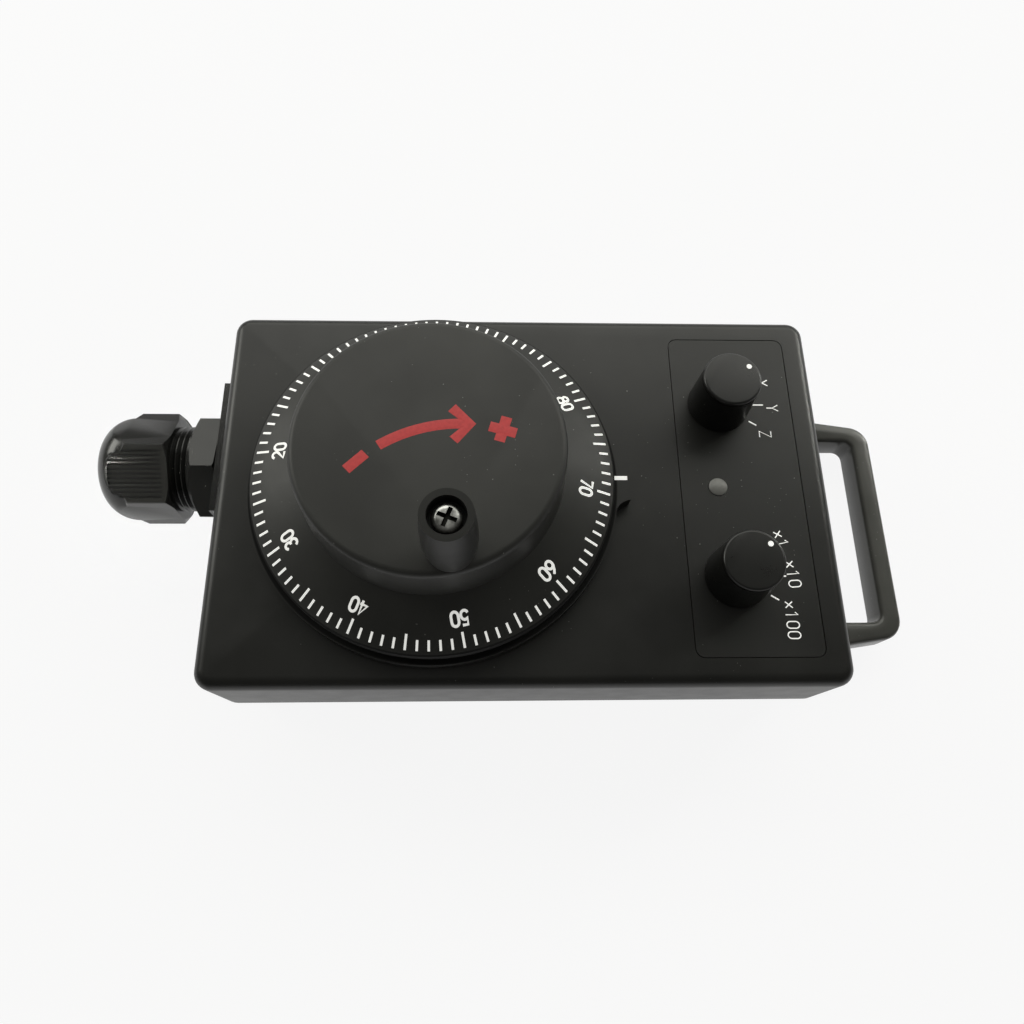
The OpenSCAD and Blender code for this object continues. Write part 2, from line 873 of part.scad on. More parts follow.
// Half section of the dial: conical rim, hollow hub and the boss on the shaft
module dial_section() {
    foot = hub_r + hub_draft;
    cone_top = rim_top + cone_rise;
    slope = cone_rise / (dial_r - 0.4 - foot);
    inner = hub_r - hub_wall;
    difference() {
        union() {
            polygon([[0, rim_z], [dial_r, rim_z], [dial_r, rim_top - 0.4],
                     [dial_r - 0.4, rim_top], [foot, cone_top], [0, cone_top]]);
            polygon([[0, cone_top - cut], [foot, cone_top - cut], [foot, cone_top],
                     [hub_r, hub_top - hub_round], [0, hub_top - hub_round]]);
            square([hub_r - hub_round, hub_top]);
            translate([hub_r - hub_round, hub_top - hub_round]) circle(hub_round);
        }
        square([inner, boss_foot]);
        polygon([[inner - cut, rim_z - cut], [dial_r - rim_foot, rim_z - cut],
                 [dial_r - rim_foot, rim_z + slope * (rim_foot - 0.4)],
                 [foot, rim_z + cone_rise], [inner - cut, rim_z + cone_rise]]);
        translate([boss_r, 0]) square([inner - boss_r, hub_top - hub_top_t]);
        square([dial_r + cut, rim_z]);
    }
}

module dial_wheel()
    color(dial_black)
        at_dial()
            difference() {
                union() {
                    rotate_extrude() dial_section();
                    for (i = [0 : rib_count - 1])
                        rotate(30 + i * 360 / rib_count)
                            translate([boss_r - 0.5, -rib_t / 2, hub_top - hub_top_t - rib_h])
                                cube([hub_r - hub_wall - boss_r + 1, rib_t, rib_h + 0.5]);
                    rotate(spin_a)
                        translate([spin_in, 0, hub_top - insert_h - 2])
                            intersection() {
                                cylinder(r = spin_boss_r, h = insert_h + 1);
                                translate([-spin_in, 0, 0]) cylinder(r = hub_r - 0.5, h = insert_h + 1);
                            }
                }
                translate([0, 0, rim_z - cut]) cylinder(r = shaft_r + seat, h = shaft_top + 1 - rim_z + cut);
                rotate(spin_a)
                    translate([spin_in, 0, hub_top - insert_h])
                        cylinder(r = insert_r + seat, h = insert_h + cut);
                rotate(set_screw_a)
                    translate([shaft_r - cut, 0, set_screw_z])
                        rotate([0, 90, 0])
                            cylinder(r = set_screw_r + seat, h = hub_r + hub_draft);
            }

module dial_set_screw()
    color(steel)
        at_dial()
            rotate(set_screw_a)
                translate([shaft_r + 0.05, 0, set_screw_z])
                    rotate([0, 90, 0])
                        difference() {
                            cylinder(r = set_screw_r, h = boss_r - shaft_r - 0.5);
                            translate([0, 0, 2.5]) cylinder(r = 1.15, h = boss_r, $fn = 6);
                        }

// ---- spinner ----

module spinner_insert()
    color(brass)
        at_spinner()
            translate([0, 0, hub_top - insert_h])
                difference() {
                    cylinder(r = insert_r, h = insert_h);
                    translate([0, 0, 0.8]) cylinder(r = screw_r + seat, h = insert_h);
                }

module spinner_washer()
    color(steel)
        at_spinner()
            translate([0, 0, hub_top])
                tube(sleeve_r + 1.2, sleeve_r + run, washer_t - 0.1);

module spinner_sleeve()
    color(steel)
        at_spinner()
            translate([0, 0, hub_top])
                tube(sleeve_r, screw_r + seat, sleeve_top - hub_top);

// Radius of the spinner at a share t of its height: foot, waist, top
function spinner_radius(t) =
    t < spin_waist_at
    ? spin_foot_r + (spin_waist_r - spin_foot_r) * sin(90 * t / spin_waist_at)
    : spin_top_r + (spin_waist_r - spin_top_r) * cos(90 * (t - spin_waist_at) / (1 - spin_waist_at));

module spinner_knob() {
    steps = 20;
    tall = spin_top - spin_z;
    color(knob_black)
        at_spinner()
            translate([0, 0, spin_z])
                rotate_extrude()
                    difference() {
                        polygon(concat(
                            [[0, 0], [spin_foot_r - 0.4, 0]],
                            [for (i = [1 : steps]) [spinner_radius(i / steps), tall * i / steps]],
                            [[0, tall]]));
                        translate([0, -cut]) square([sleeve_r + 0.05, tall + 2 * cut]);
                        translate([0, spin_ledge - spin_z]) square([spin_recess_r, tall]);
                    }
}

// Pan-head screw through the sleeve into the insert
module spinner_screw()
    color(steel)
        at_spinner()
            difference() {
                union() {
                    translate([0, 0, hub_top - insert_h + 1.2])
                        cylinder(r = screw_r, h = sleeve_top - hub_top + insert_h - 1);
                    translate([0, 0, sleeve_top])
                        rotate_extrude()
                            polygon(concat(
                                [[0, 0], [spin_head_r, 0]],
                                [for (a = [0 : 15 : 90])
                                    [spin_head_r - spin_head_round * (1 - cos(a)),
                                     spin_head_edge + (spin_head_h - spin_head_edge) * sin(a)]],
                                [[0, spin_head_h]]));
                }
                translate([0, 0, sleeve_top + spin_head_h]) rotate(56) cross_recess(3.6, 1.5);
            }

// ---- selectors ----

module rotary_switch(side)
    at_selector(side) {
        difference() {
            union() {
                translate([0, 0, panel_z - switch_h])
                    rounded_block(switch_w, switch_w, switch_h, 2);
                translate([0, 0, panel_z]) cylinder(r = bushing_r, h = bushing_h);
            }
            translate([0, 0, sel_shaft_foot - 0.2]) cylinder(r = sel_shaft_r + run, h = case_h);
        }
        around([0 : 45 : 315], switch_w / 2 - 2)
            translate([0, 0, sboard_z - 0.8])
                cylinder(r = pin_r, h = panel_z - switch_h - sboard_z + 0.8, $fn = 24);
    }

module switch_nut(side)
    at_selector(side)
        translate([0, 0, case_h])
            difference() {
                cylinder(r = nut_af / 2 / cos(30), h = nut_h, $fn = 6);
                translate([0, 0, -cut]) cylinder(r = bushing_r + seat, h = nut_h + 2 * cut);
            }

module selector_shaft(side)
    at_selector(side)
        difference() {
            translate([0, 0, sel_shaft_foot]) cylinder(r = sel_shaft_r, h = sel_shaft_top - sel_shaft_foot);
            translate([sel_shaft_r - 1, -sel_shaft_r - cut, panel_z + bushing_h + 0.5])
                cube([sel_shaft_r, 2 * (sel_shaft_r + cut), case_h]);
        }

// Half section of a knob: tapered side with a fine line under its top edge
module knob_section() {
    line_z = knob_top - 1.2;
    difference() {
        union() {
            polygon([[0, knob_z], [knob_foot_r, knob_z], [knob_top_r, knob_top - knob_round],
                     [0, knob_top - knob_round]]);
            square([knob_top_r - knob_round, knob_top]);
            translate([knob_top_r - knob_round, knob_top - knob_round]) circle(knob_round);
        }
        square([knob_foot_r + cut, knob_z]);
        square([nut_af / 2 / cos(30) + 0.3, knob_z + knob_skirt_h]);
        translate([knob_top_r - 0.12, line_z]) square([cut, 0.25]);
    }
}

module selector_knob(side)
    difference() {
        at_selector(side) rotate_extrude() knob_section();
        at_selector(side) {
            difference() {
                translate([0, 0, knob_z]) cylinder(r = sel_shaft_r + seat, h = knob_bore_top - knob_z);
                translate([sel_shaft_r - 1 + seat, -sel_shaft_r - cut, knob_z + knob_skirt_h + 1])
                    cube([sel_shaft_r, 2 * (sel_shaft_r + cut), case_h]);
            }
            translate([sel_shaft_r - 1, 0, knob_z + 6.5])
                rotate([0, 90, 0])
                    cylinder(r = screw_r + seat, h = knob_foot_r);
        }
    }

module knob_set_screw(side)
    at_selector(side)
        translate([sel_shaft_r - 1 + 0.05, 0, knob_z + 6.5])
            rotate([0, 90, 0])
                difference() {
                    cylinder(r = screw_r, h = 4);
                    translate([0, 0, 2.2]) cylinder(r = 0.85, h = 4, $fn = 6);
                }

module axis_switch() color(rubber_black) rotary_switch(1);
module axis_switch_nut() color(steel) switch_nut(1);
module axis_shaft() color(steel) selector_shaft(1);
module axis_knob() color(knob_black) selector_knob(1);
module axis_knob_screw() color(steel) knob_set_screw(1);
module multiplier_switch() color(rubber_black) rotary_switch(-1);
module multiplier_switch_nut() color(steel) switch_nut(-1);
module multiplier_shaft() color(steel) selector_shaft(-1);
module multiplier_knob() color(knob_black) selector_knob(-1);
module multiplier_knob_screw() color(steel) knob_set_screw(-1);

// Board that the switches' pins and the lamp's leads are soldered to
module switch_board()
    color(board_green)
        difference() {
            translate([sel_x, 0, sboard_z]) rounded_block(sboard_l, sboard_w, sboard_t, 1);
            at_posts() translate([0, 0, sboard_z - cut]) cylinder(r = post_r + 0.5, h = sboard_t + 2 * cut);
            for (side = [-1, 1])
                at_selector(side)
                    around([0 : 45 : 315], switch_w / 2 - 2)
                        translate([0, 0, sboard_z - cut])
                            cylinder(r = pin_r + seat, h = sboard_t + 2 * cut, $fn = 24);
            for (side = [-1, 1])
                translate([lamp_x, side * 1.27, sboard_z - cut])
                    cylinder(r = lead_r + seat, h = sboard_t + 2 * cut, $fn = 24);
        }

// Row of screw terminals for the cord's wires, under the board
module at_terminals()
    for (i = [0 : term_count - 1])
        translate([sel_x + sboard_l / 2 - 1 - term_l / 2,
                   (i - (term_count - 1) / 2) * term_w / term_count, sboard_z - term_h])
            children();

module terminal_block()
    color(board_green * 1.4)
        difference() {
            translate([sel_x + sboard_l / 2 - 1 - term_l, -term_w / 2, sboard_z - term_h])
                cube([term_l, term_w, term_h]);
            at_terminals() {
                translate([0, 0, -cut]) cylinder(r = term_screw_r + seat, h = 4 + cut);
                translate([0, 0, 5.2]) rotate([0, -90, 0]) cylinder(r = term_wire_r, h = term_l);
            }
        }

module terminal_screws()
    color(steel)
        at_terminals()
            difference() {
                translate([0, 0, 0.6]) cylinder(r = term_screw_r, h = 3.2);
                translate([-2, -0.25, 0]) cube([4, 0.5, 1.2]);
            }

// ---- cord gland ----

module gland_plate()
    color(nylon_black)
        at_gland()
            difference() {
                union() {
                    translate([-gplate_h / 2, -gplate_w / 2, 0]) cube([gplate_h, gplate_w, gplate_t]);
                    translate([-gplate_h / 2 + gplate_lip + slip, -gplate_w / 2 + gplate_lip + slip, -pad_t])
                        cube([gplate_h - 2 * (gplate_lip + slip), gplate_w - 2 * (gplate_lip + slip),
                              pad_t + cut]);
                    translate([-gplate_h / 2 + 0.5, -gplate_w / 2 + 0.5, -pad_t - inner_lip_t])
                        cube([gplate_h - 1, gplate_w - 1, inner_lip_t]);
                }
                translate([0, 0, -pad_t - inner_lip_t - cut])
                    cylinder(r = thread_r + seat, h = pad_t + inner_lip_t + gplate_t + 2 * cut);
            }

module gland_washer()
    color(rubber_black)
        at_gland()
            translate([0, 0, gplate_t])
                tube(thread_r + 1.2, thread_r + seat, gwasher_t);

// Hexagon with its end corners turned off
module turned_hex(h, low_bevel, high_bevel)
    intersection() {
        cylinder(r = hex_r, h = h, $fn = 6);
        rotate_extrude()
            polygon([[0, 0], [hex_r - low_bevel, 0], [hex_r, low_bevel * 0.6],
                     [hex_r, h - high_bevel * 0.6], [hex_r - high_bevel, h], [0, h]]);
    }

module gland_body()
    color(nylon_black)
        at_gland()
            difference() {
                union() {
                    translate([0, 0, -thread_in]) cylinder(r = thread_r, h = thread_in + ghex_z + cut);
                    translate([0, 0, ghex_z]) rotate(ghex_turn) turned_hex(ghex_h, 0.4, 1.6);
                    translate([0, 0, ghex_z + ghex_h - cut])
                        cylinder(r = nut_thread_r, h = fingers_z - ghex_z - ghex_h + cut);
                    translate([0, 0, fingers_z])
                        cylinder(r1 = nut_thread_r - 0.6, r2 = seal_r + 0.4, h = finger_l);
                }
                for (i = [0 : 2])
                    translate([0, 0, gnut_z - (i + 0.5) * ridge_pitch])
                        rotate_extrude()
                            polygon([[nut_thread_r - ridge_depth, 0], [nut_thread_r + 0.1, -0.6],
                                     [nut_thread_r + 0.1, 0.6]]);
                translate([0, 0, -thread_in - cut]) cylinder(r = bore_r, h = thread_in + fingers_z);
                translate([0, 0, seal_z])
                    cylinder(r = seal_r + seat, h = fingers_z + finger_l - seal_z + cut);
                for (a = [0 : 30 : 150])
                    rotate(a)
                        translate([-nut_thread_r - cut, -finger_slit / 2, fingers_z - 1])
                            cube([2 * (nut_thread_r + cut), finger_slit, finger_l + 1 + cut]);
            }

module gland_locknut()
    color(nylon_black)
        at_gland()
            translate([0, 0, -pad_t - inner_lip_t - locknut_h])
                difference() {
                    cylinder(r = locknut_af / 2 / cos(30), h = locknut_h, $fn = 6);
                    translate([0, 0, -cut]) cylinder(r = thread_r + seat, h = locknut_h + 2 * cut);
                }

module gland_seal()
    color(rubber_black)
        at_gland()
            translate([0, 0, seal_z])
                tube(seal_r, cord_r, fingers_z + finger_l - seal_z);

// Half section of the dome nut's outside: bevel, straight skirt and dome
module dome_section() {
    skirt = gland_reach - gnut_z - dome_h;
    steps = 12;
    polygon(concat(
        [[0, 0], [hex_r - 1.4, 0], [hex_r, 0.9]],
        [[hex_r, skirt - 1.2]],
        [for (i = [0 : steps])
            let (a = 90 * i / steps)
                [mouth_r + (dome_r - mouth_r) * cos(a), skirt + dome_h * sin(a)]],
        [[0, skirt + dome_h]]));
}

module gland_nut()
    color(nylon_black)
        at_gland()
            translate([0, 0, gnut_z])
                difference() {
                    intersection() {
                        rotate_extrude() dome_section();
                        rotate(gnut_turn) cylinder(r = hex_r, h = 40, $fn = 6);
                    }
                    translate([0, 0, -cut]) cylinder(r = nut_thread_r + seat, h = fingers_z - gnut_z + cut);
                    translate([0, 0, fingers_z - gnut_z - seat])
                        cylinder(r1 = nut_thread_r, r2 = seal_r + 0.4, h = finger_l + 0.6);
                    cylinder(r = mouth_r - 0.3, h = 40);
                    rotate(gnut_turn)
                        for (side = [0 : 2], i = [0 : rib_lines - 1])
                            rotate(90 + side * 120)
                                translate([gland_af / 2 - 0.35, (i - (rib_lines - 1) / 2) * 1.1 - 0.3, 1.5])
                                    cube([2, 0.6, 12.5]);
                }

// ---- handle ----

// One arm and its half of the bar, drawn in by the radius of the long edges
module handle_plan() {
    far = case_l / 2 + handle_reach;
    near = handle_seat - 2 * handle_round;
    difference() {
        hull() {
            translate([far - handle_corner_r, handle_end_w / 2 - handle_corner_r])
                circle(handle_corner_r - handle_round, $fn = hull_fn);
            translate([near, 0]) square([1, handle_w / 2 - handle_round]);
            translate([far - handle_round - 1, 0]) square([1, 1]);
        }
        translate([near - cut, -cut])
            square([far - bar_w - finger_corner_r - near + cut, finger_w / 2 + handle_round + cut]);
        translate([near - cut, -cut])
            square([far - bar_w + handle_round - near + cut, finger_w / 2 - finger_corner_r + cut]);
        translate([far - bar_w - finger_corner_r, finger_w / 2 - finger_corner_r])
            circle(finger_corner_r + handle_round, $fn = hull_fn);
    }
}

module handle()
    color(shell_black)
        difference() {
            minkowski() {
                translate([0, 0, handle_up + handle_round])
                    linear_extrude(handle_t - 2 * handle_round)
                        for (side = [0, 1])
                            mirror([0, side]) handle_plan();
                sphere(handle_round, $fn = 20);
            }
            translate([handle_seat - 20, -case_w / 2, 0]) cube([20, case_w, part_h]);
            for (side = [-1, 1])
                translate([handle_seat - cut, side * handle_mid, handle_z])
                    rotate([0, 90, 0])
                        cylinder(r = handle_screw_r + seat, h = handle_screw_l + cut);
        }

module handle_screws()
    color(steel)
        for (side = [-1, 1])
            translate([case_l / 2 - rear_in, side * handle_mid, handle_z])
                rotate([0, 90, 0])
                    difference() {
                        pan_screw(handle_screw_r, rear_in - rear_step + handle_screw_l - 1, 3.5, 2.4);
                        translate([0, 0, -2.4]) mirror([0, 0, 1]) cross_recess(4, 1.4);
                    }

// ---- assembly ----

front_cover();
rear_cover();
case_screws();
legend_plate();
lamp_lens();
lamp_leads();
generator_base();
generator_screws();
front_bearing();
rear_bearing();
dial_shaft();
shaft_circlip();
click_wheel();
click_spring();
click_spring_screw();
disc_hub();
slotted_disc();
encoder_board();
light_sensor();
encoder_socket();
encoder_cover();
cover_screws();
dial_wheel();
dial_set_screw();
spinner_insert();
spinner_washer();
spinner_sleeve();
spinner_knob();
spinner_screw();
axis_switch();
axis_switch_nut();
axis_shaft();
axis_knob();
axis_knob_screw();
multiplier_switch();
multiplier_switch_nut();
multiplier_shaft();
multiplier_knob();
multiplier_knob_screw();
switch_board();
terminal_block();
terminal_screws();
gland_plate();
gland_washer();
gland_body();
gland_locknut();
gland_seal();
gland_nut();
handle();
handle_screws();
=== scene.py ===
from math import cos, hypot, pi, radians, sin

import bmesh
import bpy
from mathutils import Matrix, Vector


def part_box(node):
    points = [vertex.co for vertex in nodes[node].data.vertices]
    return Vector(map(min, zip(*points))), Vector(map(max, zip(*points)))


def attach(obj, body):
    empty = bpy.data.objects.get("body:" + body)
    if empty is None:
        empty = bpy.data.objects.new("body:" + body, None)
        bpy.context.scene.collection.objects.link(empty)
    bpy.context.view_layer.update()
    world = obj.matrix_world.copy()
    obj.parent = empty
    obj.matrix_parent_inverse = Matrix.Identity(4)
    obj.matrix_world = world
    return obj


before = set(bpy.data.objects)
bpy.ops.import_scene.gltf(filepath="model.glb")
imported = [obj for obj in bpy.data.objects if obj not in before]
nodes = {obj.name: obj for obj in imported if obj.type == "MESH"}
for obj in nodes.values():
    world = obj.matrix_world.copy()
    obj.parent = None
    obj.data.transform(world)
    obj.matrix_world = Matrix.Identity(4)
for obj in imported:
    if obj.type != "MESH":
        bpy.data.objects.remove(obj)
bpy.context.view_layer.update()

MM = 0.001


# ---- Rear cover ----
# The tray of the case: black ABS moulded with drafted walls and a fine spark-eroded skin.
# It lies on its flat back and carries the four screw posts.

class Wire:
    """A socket in a finish's nodes. Sums and products of wires add Math nodes."""

    def __init__(self, finish, socket):
        self.finish, self.socket = finish, socket

    def math(self, operation, *values):
        return self.finish.node("ShaderNodeMath", {"operation": operation}, values)

    def __add__(self, other):
        return self.math("ADD", self, other)

    def __sub__(self, other):
        return self.math("SUBTRACT", self, other)

    def __rsub__(self, other):
        return self.math("SUBTRACT", other, self)

    def __mul__(self, other):
        return self.math("MULTIPLY", self, other)

    def __pow__(self, other):
        return self.math("POWER", self, other)

    __radd__ = __add__
    __rmul__ = __mul__

    def step(self, low, high):
        """0 below low, 1 above high, and smooth between them."""
        return self.finish.node(
            "ShaderNodeMapRange", {"interpolation_type": "SMOOTHSTEP"},
            {"Value": self, "From Min": low, "From Max": high}, "Result")

    def part(self, axis):
        """The X, Y or Z of a vector."""
        return self.finish.node("ShaderNodeSeparateXYZ", {}, [self], axis)


class Finish:
    """A material for one of the object's finishes, on a Principled shader."""

    def __init__(self, name, **fixed):
        self.material = bpy.data.materials.new(name)
        self.material.use_nodes = True
        self.tree = self.material.node_tree
        self.shader = self.tree.nodes["Principled BSDF"]
        self.place = self.node("ShaderNodeTexCoord", output="Object")
        self.set(**fixed)

    def node(self, kind, settings=None, inputs=(), output=0):
        """Adds a node, with its settings first and then the values or links of its sockets."""
        made = self.tree.nodes.new(kind)
        for name, value in (settings or {}).items():
            setattr(made, name, value)
        pairs = inputs.items() if isinstance(inputs, dict) else enumerate(inputs)
        for key, value in pairs:
            self.plug(made.inputs[key], value)
        return Wire(self, made.outputs[output])

    def plug(self, socket, value):
        if isinstance(value, Wire):
            self.tree.links.new(value.socket, socket)
        elif socket.type == "RGBA" and len(value) == 3:
            socket.default_value = (*value, 1)
        else:
            socket.default_value = value

    def set(self, **values):
        for name, value in values.items():
            self.plug(self.shader.inputs[name.replace("_", " ")], value)

    def noise(self, size, detail=2.0):
        """Even noise from 0 to 1 with features about size metres across."""
        return self.node(
            "ShaderNodeTexNoise", {},
            {"Vector": self.place, "Scale": 1 / size, "Detail": detail}, "Fac")

    def mix(self, amount, first, second):
        return self.node(
            "ShaderNodeMix", {"data_type": "RGBA"},
            {"Factor": amount, 6: first, 7: second}, 2)

    def cover(self, amount, colour, rough):
        """Another colour and roughness where amount is 1."""
        base, dull = [Wire(self, self.shader.inputs[name].links[0].from_socket)
                      for name in ("Base Color", "Roughness")]
        self.set(Base_Color=self.mix(amount, base, colour),
                 Roughness=dull + (dull * -1 + rough) * amount)

    def bump(self, height, depth):
        """Height is 0 to 1 and depth is what 1 stands for, in metres."""
        self.set(Normal=self.node(
            "ShaderNodeBump", {},
            {"Height": height, "Distance": depth, "Strength": 1.0}, "Normal"))


DUST_GREY = (0.5, 0.5, 0.47)


def moulded(name, colour, rough, grain, depth, specks=True):
    """Moulded black plastic: fine even grain, faint flow and rub marks, a few dust specks.

    Grain is the width of the skin's grains and depth their height, both in metres.
    """
    made = Finish(name)
    cloud = made.noise(30 * MM, 3)
    rubbed = made.noise(5 * MM, 4)
    fine = made.noise(grain, 1)
    lighter = [min(1, 1.5 * c + 0.004) for c in colour]
    base = made.mix(cloud.step(0.35, 0.7), colour, lighter)
    if specks:
        speck = made.noise(0.5 * MM, 0).step(0.83, 0.85)
        dusty = made.noise(11 * MM, 1).step(0.52, 0.6)
        base = made.mix(speck * dusty * 0.35, base, DUST_GREY)
    made.set(Base_Color=base,
             Roughness=rough + (rubbed - 0.5) * 0.12 + (fine - 0.5) * 0.06)
    made.bump(fine, depth)
    return made


WELD_WITHIN = 0.002 * MM
CRISP_ANGLE = radians(32)


def dress(finish, *names):
    """Gives CAD nodes a finish, and smooth shading that stays crisp at their edges."""
    for name in names:
        piece = nodes[name]
        piece.data.materials.clear()
        piece.data.materials.append(finish.material)
        piece.data.polygons.foreach_set("use_smooth", [True] * len(piece.data.polygons))
        weld = piece.modifiers.new("weld", "WELD")
        weld.merge_threshold = WELD_WITHIN
        split = piece.modifiers.new("crisp", "EDGE_SPLIT")
        split.split_angle = CRISP_ANGLE


CASE_BLACK = (0.0105, 0.0105, 0.0095)
CASE_ROUGH = 0.36
CASE_GRAIN = 0.28 * MM
CASE_DEPTH = 0.0022 * MM
case_plastic = moulded("case_plastic", CASE_BLACK, CASE_ROUGH, CASE_GRAIN, CASE_DEPTH)
dress(case_plastic, "rear_cover")


# ---- Handle ----
# A rectangular loop of the same black ABS, rounded along all its edges.
# Two screws from inside the rear cover hold its arms.

# The handle's base colour is much lighter than the case's black: a painted sheen that stands in
# for its reflections of the pale surroundings.
handle_sheen_plastic = moulded("handle_sheen_plastic", (0.07, 0.07, 0.065), 0.22, 0.3 * MM, 0.0012 * MM)
dress(handle_sheen_plastic, "handle")

plated_steel = Finish("plated_steel", Metallic=1.0)
plated_steel.set(
    Base_Color=plated_steel.mix(
        plated_steel.noise(2 * MM, 3).step(0.35, 0.75), (0.58, 0.58, 0.57), (0.44, 0.44, 0.42)),
    Roughness=0.27 + plated_steel.noise(0.5 * MM, 3) * 0.14)
plated_steel.bump(plated_steel.noise(0.15 * MM, 2), 0.002 * MM)
dress(plated_steel, "handle_screws")


# ---- Cord gland ----
# A black nylon gland for a round cord: a plate held by both covers, a threaded body with its
# rubber washer and locknut, a rubber seal between the body's fingers, and a domed nut.

nylon = moulded("nylon", (0.009, 0.009, 0.0085), 0.24, 0.5 * MM, 0.0016 * MM)
rubber = moulded("rubber", (0.012, 0.012, 0.012), 0.62, 0.2 * MM, 0.006 * MM, specks=False)
dress(nylon, "gland_plate", "gland_body", "gland_locknut")



def centre_of(name):
    """The middle of a CAD node's box."""
    low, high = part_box(name)
    return (low + high) / 2


# Three flats of the dome nut are ribbed: painted shade darkens their grooves, and a painted
# highlight makes the ribs pale
NUT_TURN = 1.5
GROOVE_SHADE_BLACK = (0.001, 0.001, 0.001)
RIB_HIGHLIGHT_GREY = (0.03, 0.03, 0.028)
nut_low, nut_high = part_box("gland_nut")
nut_middle = centre_of("gland_nut")
nut_flat = (nut_high.z - nut_low.z) / 2 * cos(radians(30))
ribbed_nylon = moulded("ribbed_nylon", (0.011, 0.011, 0.0105), 0.20, 0.3 * MM, 0.001 * MM)
across = ribbed_nylon.place.part("Y") - nut_middle.y
upward = ribbed_nylon.place.part("Z") - nut_middle.z
for flat in range(3):
    facing = radians(90 + NUT_TURN + 120 * flat)
    outward = across * sin(facing) + upward * cos(facing)
    rib_highlight = outward.step(nut_flat - 0.2 * MM, nut_flat - 0.1 * MM)
    groove_shade = outward.step(nut_flat - 0.42 * MM, nut_flat - 0.37 * MM) * (1 - rib_highlight)
    ribbed_nylon.cover(groove_shade, GROOVE_SHADE_BLACK, 0.8)
    ribbed_nylon.cover(rib_highlight, RIB_HIGHLIGHT_GREY, 0.26)
dress(ribbed_nylon, "gland_nut")
dress(rubber, "gland_washer", "gland_seal")


# ---- Boards and switches ----
# Green boards, black moulded switches with threaded bushings, and a terminal block for the
# cord's wires. They all stay inside the closed case.

switch_plastic = moulded(
    "switch_plastic", (0.02, 0.02, 0.02), 0.5, 0.3 * MM, 0.003 * MM, specks=False)
dress(switch_plastic, "axis_switch", "multiplier_switch", "light_sensor")

circuit_board = Finish("circuit_board")
board_weave = circuit_board.noise(0.9 * MM, 2)
circuit_board.set(
    Base_Color=circuit_board.mix(
        board_weave.step(0.4, 0.6), (0.010, 0.085, 0.035), (0.016, 0.12, 0.05)),
    Roughness=0.3 + board_weave * 0.1)
circuit_board.bump(board_weave, 0.004 * MM)
dress(circuit_board, "switch_board", "encoder_board")

terminal_green = Finish("terminal_green")
terminal_green.set(
    Base_Color=terminal_green.mix(
        terminal_green.noise(4 * MM, 2), (0.03, 0.2, 0.07), (0.04, 0.25, 0.09)),
    Roughness=0.42 + terminal_green.noise(1 * MM, 2) * 0.1)
dress(terminal_green, "terminal_block", "encoder_socket")
dress(plated_steel, "terminal_screws", "axis_switch_nut", "multiplier_switch_nut",
      "axis_shaft", "multiplier_shaft", "lamp_leads")


# ---- Pulse generator ----
# A black flanged housing under the dial, with two ball bearings, the shaft, the click wheel
# and its leaf spring, and an encoder disc that turns in a forked light sensor.

dress(case_plastic, "encoder_cover")


def away_from(finish, middle):
    """Distance of a place on a finish from an upright axis."""
    across = finish.place.part("X") - middle.x
    along = finish.place.part("Y") - middle.y
    return (across * across + along * along) ** 0.5


# The flange is painted dark and dull in the gap under the dial's edge: painted shadow of the
# overhanging dial
GAP_SHADE_BLACK = (0.002, 0.002, 0.0018)
dial_low, dial_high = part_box("dial_wheel")
dial_r = (dial_high.x - dial_low.x) / 2
dial_middle = centre_of("dial_wheel")
flange_plastic = moulded("flange_plastic", CASE_BLACK, CASE_ROUGH, CASE_GRAIN, CASE_DEPTH)
past_dial = away_from(flange_plastic, dial_middle).step(dial_r + 0.8 * MM, dial_r + 1.3 * MM)
flange_plastic.cover(1 - past_dial, GAP_SHADE_BLACK, 0.95)
dress(flange_plastic, "generator_base")
dress(plated_steel, "generator_screws", "front_bearing", "rear_bearing", "dial_shaft",
      "shaft_circlip", "click_spring", "click_spring_screw", "slotted_disc", "cover_screws")

turned_brass = Finish("turned_brass", Metallic=1.0)
turned_brass.set(
    Base_Color=turned_brass.mix(
        turned_brass.noise(3 * MM, 3), (0.72, 0.52, 0.22), (0.60, 0.42, 0.17)),
    Roughness=0.28 + turned_brass.noise(0.4 * MM, 2) * 0.12)
dress(turned_brass, "click_wheel", "disc_hub")


# ---- Front cover ----
# The upper half of the case: straight walls, a rounded top edge and openings for the
# generator, the lamp and the selectors. Four screws pull it down from the back.

dress(case_plastic, "front_cover")
dress(plated_steel, "case_screws")


# ---- Legend plate ----
# A thin black plate let in flush, with a hair-wide gap all round. Its legends are screen
# printed in white: the axes, the multipliers, and a line for each detent.

plate_film = moulded("plate_film", (0.0115, 0.0115, 0.0105), 0.40, 0.22 * MM, 0.0018 * MM)
dress(plate_film, "legend_plate")

# The white ink glows a little: painted light that makes the print brighter than the lamps light
# it
glowing_white_ink = Finish("glowing_white_ink")
glowing_white_ink.set(
    Base_Color=glowing_white_ink.mix(
        glowing_white_ink.noise(0.6 * MM, 3).step(0.3, 0.8), (0.93, 0.93, 0.90), (0.84, 0.84, 0.80)),
    Roughness=0.45 + glowing_white_ink.noise(0.3 * MM, 2) * 0.15,
    Emission_Color=(1.0, 1.0, 0.97), Emission_Strength=0.5)
glowing_white_ink.bump(glowing_white_ink.noise(0.15 * MM, 1), 0.004 * MM)

# How far the ink stands above what it is printed on
INK = 0.03 * MM


def piece_of(name, mesh, finish, body):
    """Makes the mesh a piece that rides on a body."""
    mesh.materials.clear()
    mesh.materials.append(finish.material)
    piece = bpy.data.objects.new(name, mesh)
    bpy.context.scene.collection.objects.link(piece)
    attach(piece, body)
    return piece


